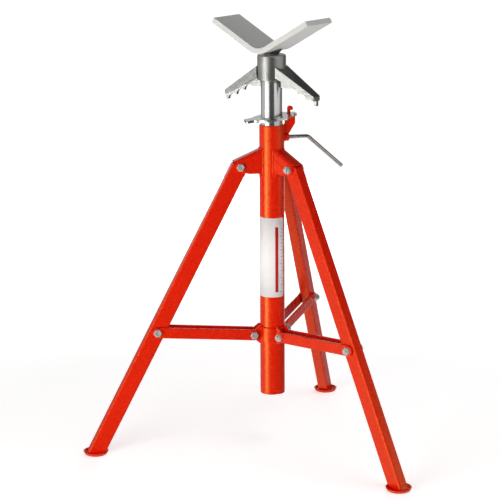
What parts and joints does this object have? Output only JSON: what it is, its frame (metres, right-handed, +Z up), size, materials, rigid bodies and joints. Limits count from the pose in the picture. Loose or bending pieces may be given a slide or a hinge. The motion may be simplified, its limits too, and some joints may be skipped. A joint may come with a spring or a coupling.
{
  "type": "pipe jack stand",
  "caption": "Folding tripod pipe stand: a tube on hinged legs with a sliding brace collar, a clamped inner mast, and a screw-jacked V saddle.",
  "frame": {"origin": "on the floor under the tube's axis, midway among the three feet", "axes": "+Z up along the tube; one leg points along +Y, the others at azimuths 210 and 330 degrees"},
  "size_m": [0.6086, 0.5331, 0.7784],
  "materials": {
    "red_paint": "glossy red enamel",
    "zinc": "bright zinc plate",
    "chrome": "smooth bright plated tube",
    "grey_iron": "satin grey casting",
    "grey_saddle": "matte grey steel",
    "screw_steel": "oiled machined steel"
  },
  "bodies": {
    "stand": {"main_tube": "red_paint", "hook": "red_paint", "clamp_nut": "red_paint", "bracket_1": "red_paint", "pivot_bolt_1": "zinc", "pivot_nut_1": "zinc", "bracket_2": "red_paint", "pivot_bolt_2": "zinc", "pivot_nut_2": "zinc", "bracket_3": "red_paint", "pivot_bolt_3": "zinc", "pivot_nut_3": "zinc"},
    "leg_1": {"leg_1": "red_paint", "foot_1": "red_paint", "brace_bolt_1": "zinc"},
    "leg_2": {"leg_2": "red_paint", "foot_2": "red_paint", "brace_bolt_2": "zinc"},
    "leg_3": {"leg_3": "red_paint", "foot_3": "red_paint", "brace_bolt_3": "zinc"},
    "collar": {"collar": "red_paint", "collar_bolt_1": "zinc", "collar_nut_1": "zinc", "collar_bolt_2": "zinc", "collar_nut_2": "zinc", "collar_bolt_3": "zinc", "collar_nut_3": "zinc"},
    "brace_1": {"brace_left_1": "red_paint", "brace_right_1": "red_paint", "brace_bolt_head_1": "zinc", "brace_bolt_nut_1": "zinc"},
    "brace_2": {"brace_left_2": "red_paint", "brace_right_2": "red_paint", "brace_bolt_head_2": "zinc", "brace_bolt_nut_2": "zinc"},
    "brace_3": {"brace_left_3": "red_paint", "brace_right_3": "red_paint", "brace_bolt_head_3": "zinc", "brace_bolt_nut_3": "zinc"},
    "mast": {"mast_tube": "chrome", "bushing": "screw_steel"},
    "jack_nut": {"wing_nut": "grey_iron"},
    "head": {"jack_screw": "screw_steel", "saddle": "grey_saddle", "saddle_boss": "grey_saddle"},
    "clutch": {"clutch_plate": "zinc"},
    "clamp": {"clamp_screw": "zinc"}
  },
  "joints": [
    {"name": "collar_slide", "type": "slide", "parent": "stand", "child": "collar", "axis": [0, 0, 1], "range_m": [0, 0.15109]},
    {"name": "leg_fold_1", "type": "hinge", "parent": "stand", "child": "leg_1", "pos_m": [0, 0.05872, 0.51671], "axis": [-1, 0, 0], "range_deg": [0, 27.4]},
    {"name": "leg_fold_2", "type": "hinge", "parent": "stand", "child": "leg_2", "pos_m": [-0.05086, -0.02936, 0.51671], "axis": [0.5, -0.866, 0], "range_deg": [0, 27.4]},
    {"name": "leg_fold_3", "type": "hinge", "parent": "stand", "child": "leg_3", "pos_m": [0.05086, -0.02936, 0.51671], "axis": [0.5, 0.866, 0], "range_deg": [0, 27.4]},
    {"name": "brace_fold_1", "type": "hinge", "parent": "collar", "child": "brace_1", "pos_m": [0, 0.03603, 0.20874], "axis": [-1, 0, 0], "range_deg": [0, 87.18]},
    {"name": "brace_fold_2", "type": "hinge", "parent": "collar", "child": "brace_2", "pos_m": [-0.0312, -0.01801, 0.20874], "axis": [0.5, -0.866, 0], "range_deg": [0, 87.18]},
    {"name": "brace_fold_3", "type": "hinge", "parent": "collar", "child": "brace_3", "pos_m": [0.0312, -0.01801, 0.20874], "axis": [0.5, 0.866, 0], "range_deg": [0, 87.18]},
    {"name": "mast_slide", "type": "slide", "parent": "stand", "child": "mast", "axis": [0, 0, 1], "range_m": [-0.0145, 0.3919]},
    {"name": "nut_turn", "type": "hinge", "parent": "mast", "child": "jack_nut", "pos_m": [0, 0, 0.66901], "axis": [0, 0, -1], "range_deg": [0, 14400]},
    {"name": "screw_lift", "type": "slide", "parent": "mast", "child": "head", "axis": [0, 0, 1], "range_m": [0, 0.2033]},
    {"name": "clutch_lift", "type": "hinge", "parent": "stand", "child": "clutch", "pos_m": [0.02886, 0.01666, 0.60351], "axis": [-0.5, 0.866, 0], "range_deg": [0, 7]},
    {"name": "clamp_turn", "type": "hinge", "parent": "stand", "child": "clamp", "pos_m": [0.01925, 0.01111, 0.56601], "axis": [0.866, 0.5, 0], "range_deg": [-360, 360]}
  ],
  "couplings": [
    {"joint": "leg_fold_1", "follows": "collar_slide", "rad_per_m": 3.1651},
    {"joint": "leg_fold_2", "follows": "collar_slide", "rad_per_m": 3.1651},
    {"joint": "leg_fold_3", "follows": "collar_slide", "rad_per_m": 3.1651},
    {"joint": "brace_fold_1", "follows": "collar_slide", "rad_per_m": 10.07},
    {"joint": "brace_fold_2", "follows": "collar_slide", "rad_per_m": 10.07},
    {"joint": "brace_fold_3", "follows": "collar_slide", "rad_per_m": 10.07},
    {"joint": "screw_lift", "follows": "nut_turn", "m_per_rad": 0.0008085}
  ]
}
